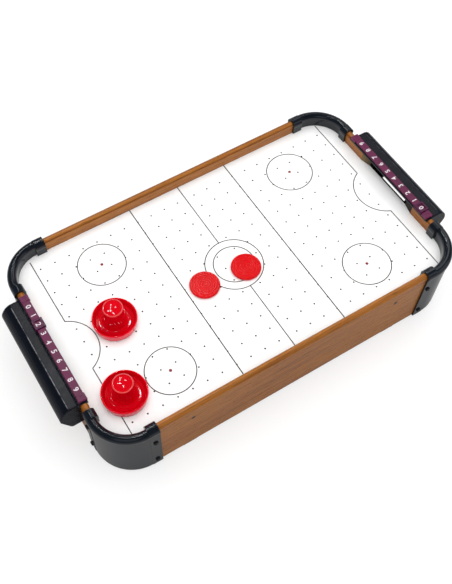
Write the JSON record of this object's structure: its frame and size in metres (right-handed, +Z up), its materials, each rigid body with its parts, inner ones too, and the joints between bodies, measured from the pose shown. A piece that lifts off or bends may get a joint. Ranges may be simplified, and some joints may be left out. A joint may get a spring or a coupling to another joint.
{
  "type": "tabletop air hockey table",
  "caption": "Tabletop air hockey table with wood-grain rails, rounded black corners, perforated white field, goal boxes with sliding score markers, mallets and pucks.",
  "frame": {"origin": "floor under the middle of the frame, between the two goals", "axes": "+X along the long direction towards the right-hand goal, +Y towards the rear long rail, +Z up"},
  "size_m": [0.558, 0.3088, 0.115],
  "materials": {
    "white_melamine": "white melamine-faced board, satin, with black and red print",
    "wood_vinyl": "orange-brown wood-grain vinyl wrap, satin",
    "raw_board": "unfinished fibreboard",
    "raw_batten": "unfinished softwood",
    "black_cap_plastic": "black injection-moulded plastic, glossy",
    "black_goal_plastic": "black moulded plastic, fine grain",
    "purple_plastic": "plum-purple plastic with white digits",
    "dark_purple_plastic": "dark purple plastic, glossy",
    "red_plastic": "bright red plastic, glossy",
    "puck_red_plastic": "bright red plastic, satin gloss",
    "black_screw": "black oxide steel",
    "steel_screw": "zinc-plated steel",
    "black_plastic": "black moulded plastic, matte",
    "fan_plastic": "dark grey moulded plastic",
    "motor_steel": "plated steel can",
    "contact_steel": "nickel-plated spring steel",
    "cell_jacket": "printed-free dark jacket, bare steel ends",
    "rocker_red": "red plastic, glossy",
    "wire_red": "red PVC insulation",
    "wire_black": "black PVC insulation",
    "felt": "dark felt",
    "foot_rubber": "black rubber"
  },
  "bodies": {
    "table": {"playfield_board": "white_melamine", "side_rail_front": "wood_vinyl", "side_rail_rear": "wood_vinyl", "end_rail_left": "wood_vinyl", "end_rail_right": "wood_vinyl", "corner_cap_front_left": "black_cap_plastic", "corner_cap_front_right": "black_cap_plastic", "corner_cap_rear_left": "black_cap_plastic", "corner_cap_rear_right": "black_cap_plastic", "corner_screws": "black_screw", "rail_screws": "black_screw", "batten_front": "raw_batten", "batten_rear": "raw_batten", "batten_left": "raw_batten", "batten_right": "raw_batten", "base_panel": "raw_board", "base_panel_screws": "steel_screw", "fan_housing": "black_plastic", "motor_bracket": "black_plastic", "fan_screws": "steel_screw", "fan_motor": "motor_steel", "battery_box": "black_plastic", "battery_box_screws": "steel_screw", "battery_cells": "cell_jacket", "battery_contacts": "contact_steel", "switch_body": "black_plastic", "lead_battery_switch": "wire_red", "lead_switch_motor": "wire_red", "lead_battery_motor": "wire_black", "goal_box_left": "black_goal_plastic", "goal_box_right": "black_goal_plastic", "goal_box_screws": "black_screw", "score_strip_left": "purple_plastic", "score_strip_right": "purple_plastic", "rubber_feet": "foot_rubber"},
    "mallet_1": {"mallet_1_body": "red_plastic", "mallet_1_felt": "felt"},
    "mallet_2": {"mallet_2_body": "red_plastic", "mallet_2_felt": "felt"},
    "puck_1": {"puck_1": "puck_red_plastic"},
    "puck_2": {"puck_2": "puck_red_plastic"},
    "marker_left": {"score_marker_left": "dark_purple_plastic"},
    "marker_right": {"score_marker_right": "dark_purple_plastic"},
    "fan_rotor": {"impeller": "fan_plastic", "motor_shaft": "motor_steel"},
    "rocker": {"switch_rocker": "rocker_red"},
    "battery_door": {"battery_lid": "black_plastic"}
  },
  "joints": [
    {"name": "mallet_1_slide", "type": "slide", "parent": "table", "child": "mallet_1", "axis": [1, 0, 0], "range_m": [-0.05, 0.071]},
    {"name": "mallet_2_slide", "type": "slide", "parent": "table", "child": "mallet_2", "axis": [1, 0, 0], "range_m": [-0.01, 0.107]},
    {"name": "puck_1_slide", "type": "slide", "parent": "table", "child": "puck_1", "axis": [0, 1, 0], "range_m": [-0.111, 0.131]},
    {"name": "puck_2_slide", "type": "slide", "parent": "table", "child": "puck_2", "axis": [1, 0, 0], "range_m": [0, 0.241]},
    {"name": "marker_left_slide", "type": "slide", "parent": "table", "child": "marker_left", "axis": [0, -1, 0], "range_m": [-0.028, 0.098]},
    {"name": "marker_right_slide", "type": "slide", "parent": "table", "child": "marker_right", "axis": [0, 1, 0], "range_m": [0, 0.126]},
    {"name": "fan_spin", "type": "hinge", "parent": "table", "child": "fan_rotor", "pos_m": [0, 0, 0.024], "axis": [0, 0, 1], "continuous": true},
    {"name": "rocker_tilt", "type": "hinge", "parent": "table", "child": "rocker", "pos_m": [-0.06, -0.072, 0.0455], "axis": [1, 0, 0], "range_deg": [-18, 0]},
    {"name": "battery_lid_slide", "type": "slide", "parent": "table", "child": "battery_door", "axis": [-1, 0, 0], "range_m": [0, 0.06]}
  ]
}
